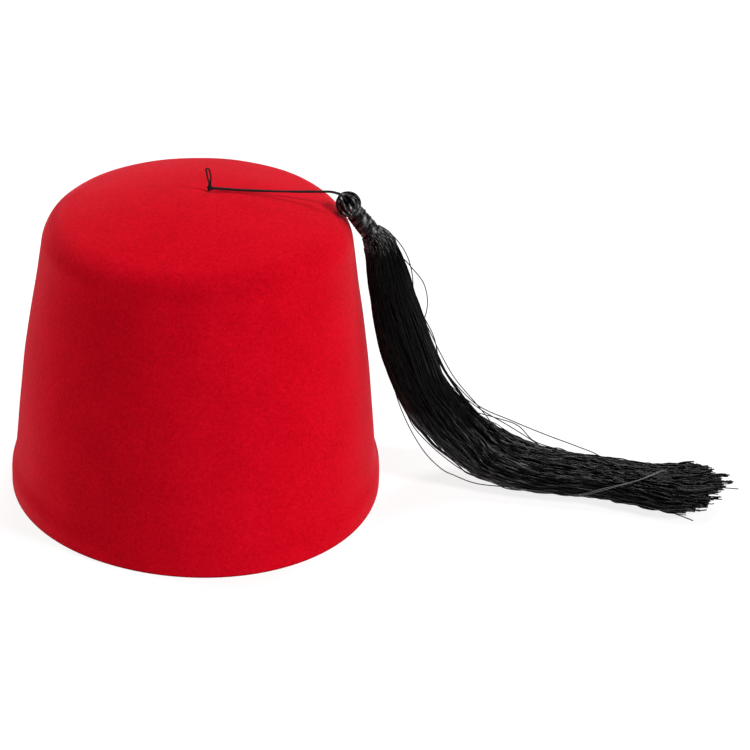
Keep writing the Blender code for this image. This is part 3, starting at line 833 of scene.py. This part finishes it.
paintedStrandShine = dict(
    rare=3, begins=(0.27, 0.54),  # how few strands get painted highlights, and where these begin
    dashWaves=24, dashLeast=0.20, lockLeast=0.30,  # painted highlights in dashes, along the strand and along its lock
    bendGlint=2.2, bendAt=0.56, bendHalf=0.09,  # a painted glint, brightest at the bend
    tailShade=0.78, tail=(0.74, 0.92),  # and painted shade, duller towards the cut end
)
skirtLength = lineLength(np.array(skirtRows)[:, :3])


def skirtFrames(at):
    # Middle, level and upward axes, and half sizes of the bundle at fractions of its length. A little past
    # either end the curve runs on, with the axes of that end.
    step = 0.004
    rows = smoothLine(skirtRows, at)
    inside = np.clip(at, step, 1.0 - step)
    ahead, behind = smoothLine(skirtRows, inside + step), smoothLine(skirtRows, inside - step)
    tangent = unit(ahead[..., :3] - behind[..., :3])
    level = unit(np.cross((0.0, 0.0, 1.0), tangent))
    return rows[..., :3], level, np.cross(tangent, level), rows[..., 3], rows[..., 4]


def roundBundle(frames, reach, angle):
    # Places round the bundle: middle + reach spread cos a level + reach rise sin a upward.
    middle, level, upward, rise, spread = frames
    points = middle + (reach * spread * cos(angle))[..., None] * level
    return points + (reach * rise * sin(angle))[..., None] * upward


def settle(points, radius):
    # Nothing goes below the table: z becomes a soft maximum of z and the strand's radius.
    soft = 0.0004
    points[..., 2] = radius + soft * np.logaddexp(0.0, (points[..., 2] - radius) / soft)
    return points


def strandLines(locks, perLock, out, disc, wander, loose, ribbon=None):
    # A lock is a twisting disc of strands whose middle wanders round the bundle's oval and in and out.
    # A strand keeps its place in the disc, adds short crimps of its own, and ends where its lock is cut.
    # A ribbon is one lock that stands off the bundle by lift exp(-((s - middle) / half length)^2), and
    # the other locks draw in under it by the same bell. The crimped part gets painted highlights, in
    # stretches.
    s = skirt
    own = np.repeat(np.arange(locks), perLock)
    count = len(own)
    every = np.arange(count)
    home = np.arange(locks) + dice.uniform(-s["lockShift"], s["lockShift"], locks) + dice.uniform()
    home = np.radians([ribbon["angle"]]) if ribbon else 2 * pi * home / locks
    sideways, inOut, girth = (waveSet(locks, cycles) for cycles in s["lockWaves"])
    crimpLevel, crimpUpward, lockLevel, lockUpward = (
        waveSet(size, s["crimpWaves"]) for size in (count, count, locks, locks))
    dashes = waveSet(count, paintedStrandShine["dashWaves"])
    twist = dice.uniform(-1.0, 1.0, locks) * s["lockTurns"]

    # where a strand ends and is sampled
    aside = out * cos(home[own] - s["endLean"])[:, None] - s["endLead"]
    cut = np.where(aside > 0, s["upperShort"], s["lowerShort"]) * np.abs(aside) ** s["roundness"]
    cut = cut + s["tipShort"]
    if perLock == 1:
        cut = cut + s["looseShort"]
    else:
        cut = cut + (s["ragged"] * dice.uniform(-1, 1, locks))[own][:, None]
    cut = cut + s["raggedStrand"] * perStrand(count, -1, 1)
    share = np.concatenate((
        np.linspace(0.0, s["change"], s["upperSamples"], endpoint=False),
        np.linspace(s["change"], 1.0, s["lowerSamples"])))[None, :]
    at = share * (1.0 - cut / skirtLength)

    # its place round the bundle
    frames = skirtFrames(at)
    free = np.clip(at / s["freeBy"], 0.0, 1.0)
    place = np.sqrt(perStrand(count))
    inLock = perStrand(count, 0, 2 * pi) + 2 * pi * twist[own][:, None] * at
    width = disc * place * (1.0 + s["girth"] * wave(girth, own, at))
    width = width * (1.0 - s["tuftGather"] * ease(*s["tuft"], share))
    bump = loose * np.minimum(dice.exponential(1.0, (count, 1)), s["looseMost"])
    bump = bump * bell(at, perStrand(count, *s["looseAt"]), perStrand(count, *s["looseHalf"]))
    if ribbon:
        shift = dice.normal(size=(count, 1)) * s["ribbonShift"]
        lift = ribbon["lift"] * perStrand(count, *s["ribbonLift"])
        bump = lift * bell(at - ribbon["middle"], shift, ribbon["half"])
    reach = out + width * cos(inLock) + free * (s["inOut"] * wander * wave(inOut, own, at) + bump)
    reach = reach * (s["rootSize"][0] + s["rootSize"][1] * ease(0.0, s["rootBy"], at))
    drift = free * s["sideways"] * wander * wave(sideways, own, at)
    angle = home[own][:, None] + (s["lockFlat"] * width * sin(inLock) + drift) / out
    for turned, along, half, _, _ in () if ribbon else s["ribbons"]:
        apart = np.mod(angle - math.radians(turned) + pi, 2 * pi) - pi
        near = np.exp(-((apart / s["ribbonSpan"]) ** 2) - ((at - along) / half) ** 2)
        reach = reach - s["ribbonGap"] * near
    points = roundBundle(frames, reach, angle)

    # its crimps, its cut end and its root
    middle, level, upward = frames[:3]
    crimped = ease(*s["crimped"], at)
    crimp = s["crimpTop"] + (s["crimpTail"] - s["crimpTop"]) * crimped
    together = s["crimpLock"] * crimped
    for strandWaves, lockWaves, axis in ((crimpLevel, lockLevel, level), (crimpUpward, lockUpward, upward)):
        shift = crimp * wave(strandWaves, every, at) + together * wave(lockWaves, own, at)
        points = points + shift[..., None] * axis
    splay = s["splayLock"] * dice.normal(size=(locks, 1, 3))[own]
    splay = splay + s["splayStrand"] * dice.normal(size=(count, 1, 3))
    points = points + ease(*s["splay"], share)[..., None] * splay
    points[:, 0] -= s["rootTuck"] * neckAxis + s["rootDraw"] * (points[:, 0] - middle[:, 0])
    radii = s["topRadius"] + (s["tailRadius"] - s["topRadius"]) * ease(*s["thickens"], at)
    radii = radii * perStrand(count, *s["uneven"])

    # painted highlights in the colour: a few strands pale in dashes past the bend, brighter where the lock
    # swells, a painted glint at the bend and painted shade towards the cut end
    look = paintedStrandShine
    paintedShines = perStrand(count) ** look["rare"] * ease(*look["begins"], at)
    paintedShines = paintedShines * paintedShineAlong(look["dashLeast"], dashes, every, at)
    paintedShines = paintedShines * paintedShineAlong(look["lockLeast"], girth, own, at)
    glint = look["bendGlint"] * bell(at, look["bendAt"], look["bendHalf"])
    paintedShines = paintedShines * (1.0 + glint - look["tailShade"] * ease(*look["tail"], at))
    return settle(points, s["tailRadius"]), upward, radii, paintedShines


def strandPiece(name, lines, upward, radii, paintedShines, material):
    points, sets = tubes(lines, radii, upward, skirt["sides"])
    paintedShines = np.repeat(np.broadcast_to(paintedShines, lines.shape[:2]).ravel(), skirt["sides"])
    return buildPiece(name, points, sets, material, ["tassel_skirt"], paintedShines=paintedShines)


def makeRibbons():
    made = []
    for angle, middle, half, lift, strands in skirt["ribbons"]:
        ribbon = dict(angle=angle, middle=middle, half=half, lift=lift)
        made.append(strandLines(1, strands, *skirt["ribbonRing"], ribbon))
    return strandPiece("skirtRibbons", *(np.concatenate(kind) for kind in zip(*made)), strandRayon)


collarFan = dict(
    count=120, samples=30, radius=0.00019,
    start=-0.0007, length=(0.005, 0.014),  # from the winding's end, metres along the bundle
    rootOut=1.12, out=1.02, outBy=0.015,
    sink=0.12, sinks=(0.45, 1.0), uneven=(-0.03, 0.02),  # they go under the long strands at their ends
    sway=0.16, swayRates=(0.6, 1.6),  # radians round the bundle
    dashWaves=2.5, dashLeast=0.15, rare=1.3, fade=0.8,  # painted highlight stretches of a strand, how few have them, and how they fade along it
)


def makeCollarFan():
    # Short strands bent over the collar, made bright with painted highlights: evenly round it, with a slow
    # sine of their own, and a reach that sinks towards their ends.
    f = collarFan
    count = f["count"]
    share = np.linspace(0.0, 1.0, f["samples"])[None, :]
    home = evenTurns(count)
    end = perStrand(count, *f["length"])
    at = (f["start"] + (end - f["start"]) * share) / skirtLength
    middle, *axes = skirtFrames(np.clip(at, 0.0, 1.0))
    middle = middle + (np.minimum(at, 0.0) * skirtLength)[..., None] * neckAxis
    angle = home + f["sway"] * slowSway(count, share, *f["swayRates"])
    reach = f["rootOut"] + (f["out"] - f["rootOut"]) * ease(0.0, f["outBy"], at)
    reach = reach - f["sink"] * ease(*f["sinks"], share) + perStrand(count, *f["uneven"])
    lines = roundBundle((middle, *axes), reach, angle)
    radii = f["radius"] * perStrand(count, *skirt["uneven"])
    dashes = paintedShineAlong(f["dashLeast"], waveSet(count, f["dashWaves"]), np.arange(count), share)
    # painted highlights, fading along each strand
    paintedShines = perStrand(count) ** f["rare"] * (1.0 - f["fade"] * share) * dashes
    return strandPiece("skirtCollar", lines, axes[1], radii, paintedShines, foldedRayon)


skirtCore = dict(
    size=0.74, end=0.955,  # shares of the bundle's width and length
    rootSize=0.6, rootGrowth=0.05,  # it starts slimmer
    ridges=24, ridge=0.035, ridgeTurn=9.0, ridgesBy=0.1,
    lowest=0.0003, steps=110, sides=96,
)


def makeSkirtCore():
    # The matted middle of the bundle: an oval tube at three quarters of its size, with ridges round it.
    k = skirtCore
    at = np.linspace(0.0, k["end"], k["steps"])[:, None]
    around = 2 * pi * np.arange(k["sides"]) / k["sides"]
    rising = np.clip(at / k["ridgesBy"], 0.0, 1.0)
    ridge = 1.0 + k["ridge"] * sin(k["ridges"] * around + k["ridgeTurn"] * at) * rising
    reach = k["size"] * np.clip(k["rootSize"] + at / k["rootGrowth"], 0.0, 1.0) * ridge
    points = settle(roundBundle(skirtFrames(at), reach, around), k["lowest"]).reshape(-1, 3)
    return buildPiece("skirtCore", points, closedGrid(k["steps"], k["sides"]), coreRayon,
                      ["tassel_skirt"], paintedShines=np.zeros(len(points)))


makeSkirtCore()
for name, *ring in skirt["rings"]:
    strandPiece(name, *strandLines(*ring), strandRayon)
makeRibbons()
makeCollarFan()
print("skirt")


# Single strands that have left the bundle. Each follows pixels of the photo, picked from where it
# leaves to where it ends: right, down, and how far back it lies, in metres, or that it is on the table.
table = None
strayRoutes = dict(
    nearLoop=((374, 240, 0.004), (388, 233.5, 0.004), (400.5, 244.5, 0.004), (408, 258, 0.003),
              (411.5, 270, 0.0025), (413, 291.5, 0.0015), (410.5, 308, 0.001)),
    wideLoop=((389, 250, 0.003), (402, 257.5, 0.003), (412, 268, 0.003), (423.5, 283, 0.002),
              (427.5, 300, 0.001), (426, 313.5, 0.001), (419.5, 328, 0.001)),
    upperEdge=((414.5, 306, 0.001), (428, 328, 0.001), (439.5, 351.5, 0.001), (455, 378.5, 0.0005),
               (476, 403.5, -0.001), (489, 419.5, -0.002), (498, 433, -0.003)),
    longBridge=((436, 358, 0.0005), (456.5, 385, 0.0005), (476, 404, -0.001), (513.5, 421.5, -0.004),
                (546.5, 435, -0.008), (580, 447.5, -0.012), (595, 453.5, -0.014), (611.5, 464, -0.016)),
    shortBridge=((478.5, 413, -0.002), (496.5, 418, -0.003), (518.5, 426, -0.005), (532.5, 440, -0.007),
                 (560, 450.5, -0.010), (577, 459.5, -0.011)),
    lowBridge=((462, 396, 0.0), (480, 409, -0.002), (510, 426.5, -0.004), (531.5, 440, -0.006),
               (555.5, 457, -0.009)),
    besideCrown=((372, 254, 0.004), (368.5, 264.5, 0.004), (369, 273, 0.0035), (370.5, 287.5, 0.003),
                 (374, 301.5, 0.0025), (382, 314.5, 0.002)),
    underBend=((383.5, 356.5, 0.001), (392.5, 383.5, 0.001), (401, 408.5, 0.001), (413.5, 435, 0.0005),
               (430, 458.5, -0.0005), (445, 471.5, -0.0015), (475, 484, table), (510, 488, table),
               (545, 491.5, table)),
    insideBend=((386, 364, 0.001), (398.5, 398.5, 0.001), (406.5, 413.5, 0.001), (413.5, 426.5, 0.001),
                (426.5, 441.5, 0.0005), (443.5, 456.5, 0.0), (460, 468.5, -0.0015), (480.5, 478, -0.006),
                (504.5, 480, -0.010)),
    beforeTail=((521, 486, -0.019), (555, 490.5, table), (580, 495.5, table), (597, 494.5, -0.023)),
    tailFront=((605.5, 493, -0.0235), (620, 499, table), (645.5, 505.5, table), (667, 512, table),
               (685.5, 518.5, table), (693, 521.5, table)),
    pastEnd=((666, 479, -0.020), (700, 486, -0.020), (719.5, 487.5, -0.020), (738.5, 489, -0.020)),
)
# painted highlights in the colour: faint on the stray strands, bright on the wraps
strays = dict(radius=0.00026, paintedShine=0.15, steps=90, sides=5)
wraps = dict(
    count=2,
    start=0.700, end=0.895, apart=0.0050,  # where they cross the tail, in shares of the skirt's length
    waver=0.8, waverRate=7.0,  # they come closer and part
    reach=1.09, tuck=0.30, tuckPower=8, slow=1.7,  # see makeStrays
    radius=0.00020, paintedShine=0.95,
)


def makeStrays():
    # Smooth curves through each route's points, and a few strands that cross the tail together from its
    # front edge to its back, at an angle of lean + arccos(2 s^slow - 1) round the bundle, and go in at
    # both ends, where their reach falls by tuck (2 s - 1)^tuckPower.
    routes = np.stack([
        evenLine([fromPhoto(*pixel) for pixel in route], strays["steps"]) for route in strayRoutes.values()])
    w = wraps
    share = np.linspace(0.0, 1.0, strays["steps"])
    offset = w["apart"] * (np.arange(w["count"]) - (w["count"] - 1) / 2)[:, None]
    offset = offset * (1.0 + w["waver"] * sin(w["waverRate"] * share))
    frames = skirtFrames(w["start"] + (w["end"] - w["start"]) * share + offset)
    turn = skirt["endLean"] + np.arccos(2.0 * share ** w["slow"] - 1.0)
    reach = w["reach"] * (1.0 - w["tuck"] * (2.0 * share - 1.0) ** w["tuckPower"])
    lines = settle(np.concatenate((routes, roundBundle(frames, reach, turn))), strays["radius"])
    radii, paintedShines = (
        np.array([strays[key]] * len(routes) + [w[key]] * w["count"])[:, None] for key in ("radius", "paintedShine"))
    points, sets = tubes(lines, radii, (0.0, 1.0, 0.05), strays["sides"])
    paintedShines = np.repeat(paintedShines, strays["steps"] * strays["sides"])
    return buildPiece("strayStrands", points, sets, strandRayon, paintedShines=paintedShines)


makeStrays()
print("stray strands")


studio = dict(
    floor=(0.26, 0.26, 0.26),
    floorHalf=6.0,  # metres
    floorGlow=0.83,  # the floor is lit from below too, as a light table is
    floorRoughness=0.9,
    white=(1.0, 1.0, 1.0, 1.0),
    world=0.005,
    suns=(
        # name, degrees round from the camera's side to the right, degrees up, watts per square metre, size
        ("keyRightFront", 70.0, 37.0, 2.40, 14.0),
        ("catchFront", 16.0, 16.0, 0.36, 12.0),
        ("fillLeftBack", -122.0, 32.0, 1.75, 40.0),
        ("topSoft", 162.0, 56.0, 1.50, 22.0),
    ),
)


def makeStudio():
    # A plain pale floor, a dim even world, and round soft lights far away.
    half = studio["floorHalf"]
    floorMesh = bpy.data.meshes.new("floor")
    corners = [(-half, -half, 0), (half, -half, 0), (half, half, 0), (-half, half, 0)]
    floorMesh.from_pydata(corners, [], [(0, 1, 2, 3)])
    floor = bpy.data.objects.new("floor", floorMesh)
    material, tree, shader = newMaterial("paleFloor")
    setInputs(tree, shader, {
        "Base Color": (*studio["floor"], 1.0), "Roughness": studio["floorRoughness"],
        "Specular IOR Level": 0.0, "Emission Color": studio["white"],
        "Emission Strength": studio["floorGlow"]})
    floorMesh.materials.append(material)
    scene.collection.objects.link(floor)
    world = bpy.data.worlds.new("dimWorld")
    world.use_nodes = True
    setInputs(world.node_tree, world.node_tree.nodes["Background"], {
        "Color": studio["white"], "Strength": studio["world"]})
    scene.world = world
    for name, sideAngle, up, strength, size in studio["suns"]:
        lamp = bpy.data.lights.new(name, "SUN")
        lamp.energy = strength
        lamp.angle = math.radians(size)
        light = bpy.data.objects.new(name, lamp)
        level, rise = math.radians(sideAngle), math.radians(up)
        away = Vector((math.sin(level) * math.cos(rise), -math.cos(level) * math.cos(rise), math.sin(rise)))
        light.rotation_euler = away.to_track_quat("Z", "Y").to_euler()
        scene.collection.objects.link(light)
    scene.view_settings.view_transform = "Standard"


makeStudio()
print("floor and light")
